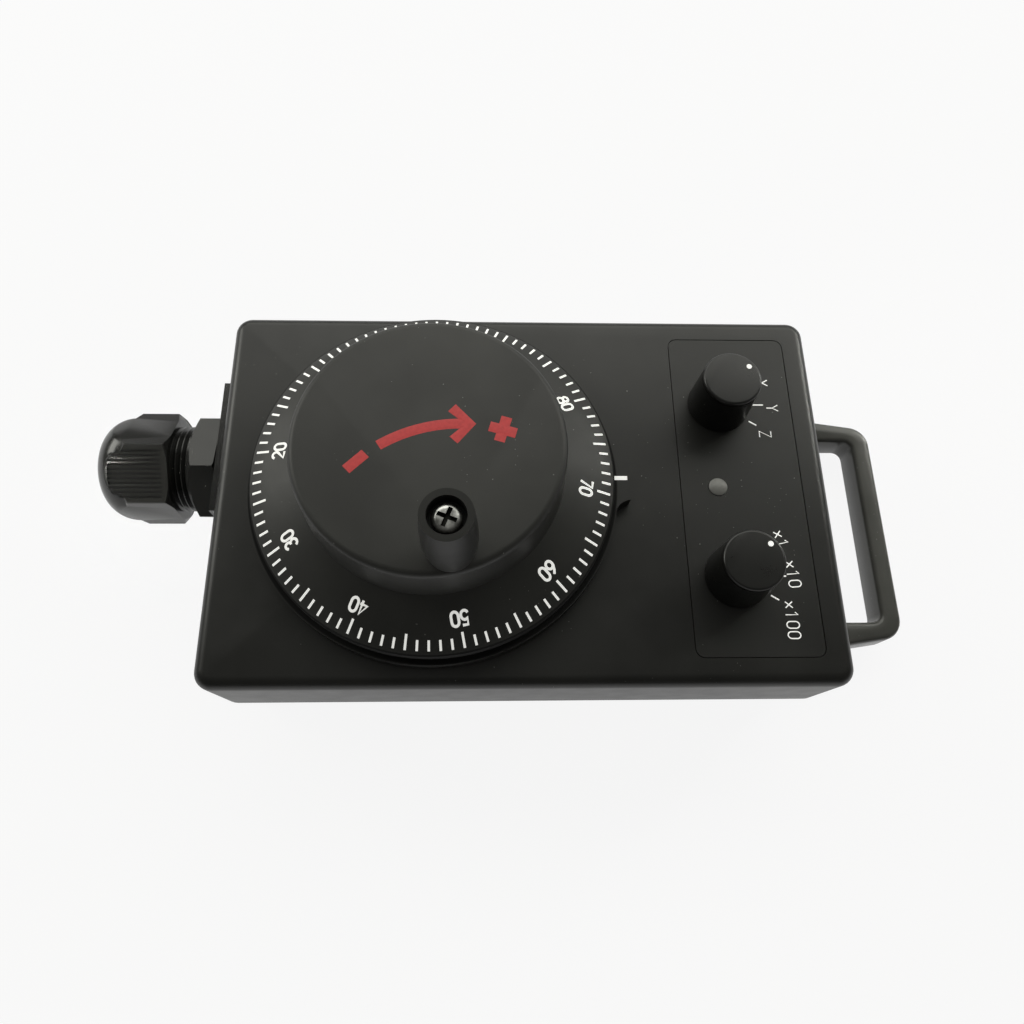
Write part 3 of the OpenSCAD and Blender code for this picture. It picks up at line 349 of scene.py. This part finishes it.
def shaped(name, shape, finish, body):
    """Makes the bmesh a piece, with its faces turned outwards."""
    bmesh.ops.remove_doubles(shape, verts=shape.verts, dist=0.0005 * MM)
    bmesh.ops.recalc_face_normals(shape, faces=shape.faces)
    mesh = bpy.data.meshes.new(name)
    shape.to_mesh(mesh)
    shape.free()
    return piece_of(name, mesh, finish, body)


def printed(name, lines, width, top, finish, body):
    """Screen printing: each line is a stroke of ink that stands INK above top."""
    pen = bpy.data.curves.new(name, "CURVE")
    pen.dimensions = "3D"
    pen.bevel_depth = width / 2
    pen.bevel_resolution = 1
    pen.use_fill_caps = True
    for count, line in enumerate(lines):
        closed = len(line) > 3 and line[0] == line[-1]
        points = line[:-1] if closed else line
        # Strokes that cross differ a little in height, so their faces don't coincide
        lift = width * 0.08 * (count % 4)
        spline = pen.splines.new("POLY")
        spline.points.add(len(points) - 1)
        for point, (x, y) in zip(spline.points, points):
            point.co = (x, y, lift, 1)
        spline.use_cyclic_u = closed
        spline.use_smooth = False
    drawn = bpy.data.objects.new(name, pen)
    mesh = bpy.data.meshes.new_from_object(drawn)
    bpy.data.objects.remove(drawn)
    flattened = Matrix.Diagonal((1, 1, 2 * INK / width, 1))
    mesh.transform(Matrix.Translation((0, 0, top)) @ flattened)
    return piece_of(name, mesh, finish, body)


def arc(x, y, rx, ry, start, end, count=12):
    """Points along an oval about (x, y), from one angle in degrees to another."""
    turn = [radians(start + (end - start) * i / count) for i in range(count + 1)]
    return [(x + rx * cos(a), y + ry * sin(a)) for a in turn]


def ring(x, y, rx, ry):
    """A whole oval, which ends exactly where it starts."""
    around = arc(x, y, rx, ry, 0, 360, 24)
    return around[:-1] + around[:1]


# Strokes of each sign, in a box one high
SIGNS = {
    "0": [arc(0.27, 0.70, 0.27, 0.30, 0, 180) + arc(0.27, 0.30, 0.27, 0.30, 180, 360)
          + [(0.54, 0.70)]],
    "1": [[(0.06, 0.78), (0.27, 1.0), (0.27, 0.0)]],
    "2": [arc(0.27, 0.72, 0.27, 0.28, 170, -38) + [(0.0, 0.0), (0.56, 0.0)]],
    "3": [arc(0.26, 0.75, 0.24, 0.25, 160, -80) + arc(0.26, 0.27, 0.28, 0.27, 80, -160)],
    "4": [[(0.42, 0.0), (0.42, 1.0), (0.0, 0.27), (0.58, 0.27)]],
    "5": [[(0.50, 1.0), (0.10, 1.0), (0.05, 0.52)] + arc(0.26, 0.32, 0.28, 0.32, 125, -155)],
    "6": [[(0.42, 1.0), (0.20, 0.78)] + arc(0.27, 0.29, 0.27, 0.42, 150, 180, 3),
          ring(0.27, 0.29, 0.27, 0.29)],
    "7": [[(0.0, 1.0), (0.55, 1.0), (0.20, 0.0)]],
    "8": [ring(0.27, 0.76, 0.23, 0.24), ring(0.27, 0.27, 0.28, 0.27)],
    "9": [ring(0.27, 0.71, 0.27, 0.29),
          arc(0.27, 0.71, 0.27, 0.42, 0, -30, 3) + [(0.34, 0.22), (0.12, 0.0)]],
    "X": [[(0.0, 0.0), (0.56, 1.0)], [(0.0, 1.0), (0.56, 0.0)]],
    "Y": [[(0.0, 1.0), (0.28, 0.48), (0.56, 1.0)], [(0.28, 0.48), (0.28, 0.0)]],
    "Z": [[(0.0, 1.0), (0.56, 1.0), (0.0, 0.0), (0.56, 0.0)]],
    "x": [[(0.02, 0.08), (0.52, 0.66)], [(0.02, 0.66), (0.52, 0.08)]],
}
SIGN_WIDE = 0.55


def lettering(words, height, centre, up, gap=0.26):
    """Strokes that write words about a centre, their tops turned towards the angle up."""
    length = len(words) * SIGN_WIDE + (len(words) - 1) * gap
    rise, along = (cos(up), sin(up)), (sin(up), -cos(up))

    def placed(start, x, y):
        ahead = start + x - length / 2
        above = y - 0.5
        return tuple(centre[k] + height * (ahead * along[k] + above * rise[k]) for k in (0, 1))

    return [[placed(i * (SIGN_WIDE + gap), x, y) for x, y in stroke]
            for i, sign in enumerate(words) for stroke in SIGNS[sign]]


case_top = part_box("front_cover")[1].z
selectors = {name: centre_of(f"{name}_shaft") for name in ("axis", "multiplier")}
LEGEND_H = 2.75 * MM
LEGEND_PEN = 0.26 * MM

# Each legend: its selector, its signs, its place from the shaft in mm, and its turn in degrees
legends = [
    ("axis", "X", (11.3, 6.0), 0), ("axis", "Y", (13.0, -0.8), 0), ("axis", "Z", (10.5, -7.7), 0),
    ("multiplier", "x1", (10.8, 8.7), 12), ("multiplier", "x10", (12.5, 0.5), 4),
    ("multiplier", "x100", (11.0, -9.8), 0),
]
legend_lines = []
for selector, words, (x, y), turn in legends:
    at = selectors[selector]
    legend_lines += lettering(words, LEGEND_H, (at.x + x * MM, at.y + y * MM), radians(turn))
printed("legends", legend_lines, LEGEND_PEN, case_top, glowing_white_ink, "case")

# Each detent's line: its angle in degrees, and how far from the shaft it ends, in mm
DETENTS = ((0, 10.9), (-32, 10.2))
DETENT_START = 8.2
DETENT_PEN = 0.32 * MM
detent_lines = []
for at in selectors.values():
    for angle, reach in DETENTS:
        way = Vector((cos(radians(angle)), sin(radians(angle))))
        detent_lines.append([tuple(at.xy + way * r * MM) for r in (DETENT_START, reach)])
printed("detent_lines", detent_lines, DETENT_PEN, case_top, glowing_white_ink, "case")


# ---- Lamp ----
# A small grey cast-resin lamp between the selectors, frosted and unlit. Its flange is caught
# under the front cover, and its two steel leads go down into the switch board.

lamp_resin = Finish("lamp_resin", Transmission_Weight=0.35, IOR=1.5)
lamp_cloud = lamp_resin.noise(1.2 * MM, 3)
lamp_resin.set(
    Base_Color=lamp_resin.mix(lamp_cloud, (0.28, 0.28, 0.265), (0.44, 0.44, 0.42)),
    Roughness=0.35 + lamp_cloud * 0.15)
lamp_resin.bump(lamp_resin.noise(0.3 * MM, 2), 0.006 * MM)
dress(lamp_resin, "lamp_lens")


# ---- Index ----
# The generator's flange carries a short block beside the dial, moulded in one with it.
# A white line printed on the block marks the division that the dial stands at.

INDEX_PEN = 0.95 * MM
flange_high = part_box("generator_base")[1]
index_y = dial_middle.y + 0.7 * MM
index_line = [(flange_high.x - 4.1 * MM, index_y), (flange_high.x - 0.5 * MM, index_y)]
printed("index_line", [index_line], INDEX_PEN, flange_high.z, glowing_white_ink, "case")


# ---- Dial ----
# The handwheel: a black moulded wheel with a conical rim, a tall hollow hub and a soft top edge.
# A hundred white divisions and a number at every ten are printed on the cone.

dial_plastic = moulded("dial_plastic", (0.024, 0.024, 0.022), 0.47, 0.25 * MM, 0.0022 * MM)
# The dial's outermost edge is painted dark and dull: painted shade at its undercut edge over the
# gap
dial_edge_shade = away_from(dial_plastic, dial_middle).step(dial_r - 0.45 * MM, dial_r - 0.25 * MM)
dial_plastic.cover(dial_edge_shade, GAP_SHADE_BLACK, 0.9)
dress(dial_plastic, "dial_wheel")
dress(plated_steel, "dial_set_screw")

# The cone rises from the rim's edge towards the hub
RIM_THICK = 3 * MM
CONE_EDGE = dial_r - 0.4 * MM
CONE_SLOPE = 5.2 / 11.0
rim_top = dial_low.z + RIM_THICK

DIVISIONS = 100
AT_INDEX = 72


def turn_of(n):
    """The angle of a division about the dial's axis, with division AT_INDEX at the index."""
    return 2 * pi * (n - AT_INDEX) / DIVISIONS


def onto_cone(piece):
    """Lifts flat printing onto the dial's conical rim."""
    for vertex in piece.data.vertices:
        r = hypot(vertex.co.x - dial_middle.x, vertex.co.y - dial_middle.y)
        vertex.co.z += CONE_SLOPE * (CONE_EDGE - r)


LINE_OUTER = dial_r - 1.0 * MM
LONG_LINE = 3.0 * MM
SHORT_LINE = 2.05 * MM
LINE_WIDE = 0.5 * MM
divisions = bmesh.new()
for n in range(DIVISIONS):
    length = LONG_LINE if n % 5 == 0 else SHORT_LINE
    size = Matrix.Diagonal((length, LINE_WIDE, 2 * INK, 1))
    outward = Matrix.Translation((LINE_OUTER - length / 2, 0, 0))
    place = Matrix.Rotation(turn_of(n), 4, "Z") @ outward @ size
    place = Matrix.Translation((dial_middle.x, dial_middle.y, rim_top)) @ place
    bmesh.ops.create_cube(divisions, size=1, matrix=place)
onto_cone(shaped("divisions", divisions, glowing_white_ink, "dial"))

NUMBER_H = 2.7 * MM
NUMBER_GAP = 0.19
NUMBER_PEN = 0.55 * MM
NUMBER_REACH = dial_r - 6.55 * MM
number_lines = []
for n in range(0, DIVISIONS, 10):
    a = turn_of(n)
    middle = (dial_middle.x + NUMBER_REACH * cos(a), dial_middle.y + NUMBER_REACH * sin(a))
    number_lines += lettering(str(n), NUMBER_H, middle, a, NUMBER_GAP)
onto_cone(printed("numbers", number_lines, NUMBER_PEN, rim_top, glowing_white_ink, "dial"))


# ---- Rotation mark ----
# A plain red mark on the hub that shows which way counts up: a minus, an arrow and a plus.
# It is screen printed, and bent a little round the hub.

# The red ink glows faintly: painted light that makes the mark brighter than the lamps light it
glowing_red_ink = Finish("glowing_red_ink")
glowing_red_ink.set(
    Base_Color=glowing_red_ink.mix(
        glowing_red_ink.noise(0.8 * MM, 3).step(0.3, 0.8), (0.58, 0.045, 0.045), (0.48, 0.036, 0.037)),
    Roughness=0.42 + glowing_red_ink.noise(0.3 * MM, 2) * 0.15,
    Emission_Color=(1.0, 0.15, 0.15), Emission_Strength=0.07)
glowing_red_ink.bump(glowing_red_ink.noise(0.15 * MM, 1), 0.004 * MM)

# The mark faces MARK_UP, sits MARK_OUT from the dial's axis, and bends with radius MARK_BEND
MARK_UP = radians(104)
MARK_OUT = 3.0 * MM
MARK_BEND = 30 * MM
MARK_PEN = 2.2 * MM
mark_out = Vector((cos(MARK_UP), sin(MARK_UP)))
mark_along = Vector((mark_out.y, -mark_out.x))


def on_mark(along, out):
    """A point of the mark, along its bent middle line and out from it."""
    turn = along / MARK_BEND
    reach = MARK_BEND + out
    return tuple(dial_middle.xy - mark_out * (MARK_BEND - MARK_OUT)
                 + mark_out * reach * cos(turn) + mark_along * reach * sin(turn))


arrow_shaft = [on_mark(x * MM, 0) for x in range(-10, 10)]
arrow_head = [on_mark(5.6 * MM, 3.6 * MM), on_mark(9.2 * MM, 0), on_mark(5.6 * MM, -3.6 * MM)]
minus = [on_mark(-18 * MM, 0), on_mark(-13 * MM, 0)]
plus_bar = [on_mark(13 * MM, 0), on_mark(18.6 * MM, 0)]
plus_post = [on_mark(15.8 * MM, 2.8 * MM), on_mark(15.8 * MM, -2.8 * MM)]
mark = [arrow_shaft, arrow_head, minus, plus_bar, plus_post]
printed("rotation_mark", mark, MARK_PEN, dial_high.z, glowing_red_ink, "dial")


# ---- Spinner ----
# A small black waisted knob that turns on a steel sleeve. A bright pan-head screw in its
# recess clamps the sleeve to the hub.

spinner_plastic = moulded("spinner_plastic", (0.018, 0.018, 0.0165), 0.44, 0.25 * MM, 0.0018 * MM)
spinner_plastic.set(Specular_IOR_Level=0.32)
dress(spinner_plastic, "spinner_knob")

# The socket in the screw's head is painted dark and dull below its mouth: painted shade in the
# recess
SOCKET_SHADE_BLACK = (0.05, 0.05, 0.045)
screw_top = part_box("spinner_screw")[1].z
bright_steel = Finish("bright_steel", Metallic=1.0)
past_socket = away_from(bright_steel, centre_of("spinner_screw")).step(1.85 * MM, 1.95 * MM)
at_mouth = bright_steel.place.part("Z").step(screw_top - 0.5 * MM, screw_top - 0.2 * MM)
socket = (1 - past_socket) * (1 - at_mouth)
steel_cloud = bright_steel.noise(1.5 * MM, 3).step(0.3, 0.75)
steel = bright_steel.mix(steel_cloud, (0.70, 0.70, 0.68), (0.26, 0.26, 0.25))
bright_steel.set(
    Base_Color=bright_steel.mix(socket, steel, SOCKET_SHADE_BLACK),
    Roughness=0.24 + bright_steel.noise(0.4 * MM, 3) * 0.14 + socket * 0.3)
bright_steel.bump(bright_steel.noise(0.2 * MM, 2), 0.003 * MM)
dress(bright_steel, "spinner_screw")
dress(plated_steel, "spinner_sleeve", "spinner_washer")
dress(turned_brass, "spinner_insert")


# ---- Selector knobs ----
# Two small round black knobs with smooth tapered sides, each with a white dot as its pointer.
# A set screw holds each on the flat of its switch's shaft.

knob_plastic = moulded("knob_plastic", (0.008, 0.008, 0.0075), 0.30, 0.22 * MM, 0.0014 * MM)
dress(knob_plastic, "axis_knob", "multiplier_knob")
dress(plated_steel, "axis_knob_screw", "multiplier_knob_screw")

# Each knob's dot lies DOT_REACH from its shaft, at the angle where that knob points
DOT_REACH = 5 * MM
DOT_FOOT_R = 0.62 * MM
DOT_TOP_R = 0.58 * MM
for name, turn in (("axis", 37), ("multiplier", 43)):
    at = selectors[name]
    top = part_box(f"{name}_knob")[1].z
    way = radians(turn)
    place = Matrix.Translation((at.x + DOT_REACH * cos(way), at.y + DOT_REACH * sin(way), top))
    dot = bmesh.new()
    bmesh.ops.create_cone(dot, cap_ends=True, segments=32, radius1=DOT_FOOT_R, radius2=DOT_TOP_R,
                          depth=2 * INK, matrix=place)
    shaped(f"{name}_dot", dot, glowing_white_ink, f"{name}_selector")


# ---- Studio ----
# A pale floor, four soft panels of light at the back, the sides and above, and two small
# narrow lamps for the case's right end and the gland. The camera looks down from the front.

scene = bpy.context.scene
scene.view_settings.view_transform = "Standard"

CAMERA_AT = Vector((-0.00943, -0.06883, case_top + 0.16824))
CAMERA_LOOK = Vector((0.0350, 0.3489, -0.9365)).normalized()
CAMERA_RIGHT = Vector((0.99939, -0.01143, 0.03309)).normalized()
CAMERA_FOCAL = 28.125
CAMERA_SENSOR = 36
lens = bpy.data.cameras.new("camera")
lens.sensor_width = CAMERA_SENSOR
lens.lens = CAMERA_FOCAL
lens.clip_start = 0.01
camera = bpy.data.objects.new("camera", lens)
scene.collection.objects.link(camera)
scene.camera = camera
camera_up = CAMERA_RIGHT.cross(CAMERA_LOOK)
turned = Matrix((CAMERA_RIGHT, camera_up, -CAMERA_LOOK)).transposed().to_4x4()
camera.matrix_world = Matrix.Translation(CAMERA_AT) @ turned


SOFT_WHITE = (1.0, 1.0, 0.93)
OBJECT_MIDDLE = (0, 0, 0.02)


def panel(name, place, size, power, aim=OBJECT_MIDDLE, spread=180):
    """A flat soft light at a place, turned to shine on aim in a beam spread degrees wide."""
    light = bpy.data.lights.new(name, "AREA")
    light.shape = "RECTANGLE"
    light.size, light.size_y = size
    light.energy = power
    light.color = SOFT_WHITE
    light.spread = radians(spread)
    towards = (Vector(aim) - Vector(place)).to_track_quat("-Z", "Y")
    lamp = bpy.data.objects.new(name, light)
    lamp.matrix_world = Matrix.Translation(place) @ towards.to_matrix().to_4x4()
    scene.collection.objects.link(lamp)


panel("back_panel", (0.05, 0.80, 0.72), (1.4, 0.8), 6.2)
panel("left_panel", (-0.85, 0.45, 0.55), (0.5, 0.4), 3.2)
panel("right_panel", (0.75, 0.55, 0.60), (0.35, 0.25), 1.3)
panel("top_panel", (0, -0.1, 1.0), (0.5, 0.5), 0.14)
panel("edge_lamp", (0.39, 0.22, 0.19), (0.04, 0.04), 0.008, (0.08, 0.01, 0.02), 30)
panel("gland_lamp", (-0.32, -0.05, 0.20), (0.015, 0.015), 0.004, (-0.085, 0.0125, 0.01), 14)

FLOOR_R = 6
floor_shape = bmesh.new()
bmesh.ops.create_circle(floor_shape, cap_ends=True, segments=96, radius=FLOOR_R)
floor_mesh = bpy.data.meshes.new("floor")
floor_shape.to_mesh(floor_mesh)
floor_shape.free()
floor = bpy.data.objects.new("floor", floor_mesh)
scene.collection.objects.link(floor)

# The paper keeps the object's shadow, and looks nearly white to the camera and in reflections
paper = Finish("paper", Base_Color=(0.86, 0.86, 0.86), Roughness=0.8)
seen = paper.node("ShaderNodeLightPath", {}, [], "Is Camera Ray") * 0.90
seen += paper.node("ShaderNodeLightPath", {}, [], "Is Glossy Ray") * 0.65
white = paper.node("ShaderNodeEmission", {}, {"Color": (1, 1, 1), "Strength": 1.0})
lit = Wire(paper, paper.shader.outputs[0])
blend = paper.node("ShaderNodeMixShader", {}, [seen, lit, white])
paper.plug(paper.tree.nodes["Material Output"].inputs["Surface"], blend)
floor_mesh.materials.append(paper.material)

# The world is white behind the object, and gives it only a weak even light
world = bpy.data.worlds.new("studio")
scene.world = world
world.use_nodes = True
sky = world.node_tree
path = sky.nodes.new("ShaderNodeLightPath")
plain = sky.nodes["Background"]
plain.inputs["Color"].default_value = (*SOFT_WHITE, 1)
plain.inputs["Strength"].default_value = 0.10
backdrop = sky.nodes.new("ShaderNodeBackground")
backdrop.inputs["Color"].default_value = (1, 1, 1, 1)
backdrop.inputs["Strength"].default_value = 1.0
choose = sky.nodes.new("ShaderNodeMixShader")
sky.links.new(path.outputs["Is Camera Ray"], choose.inputs[0])
sky.links.new(plain.outputs[0], choose.inputs[1])
sky.links.new(backdrop.outputs[0], choose.inputs[2])
sky.links.new(choose.outputs[0], sky.nodes["World Output"].inputs["Surface"])
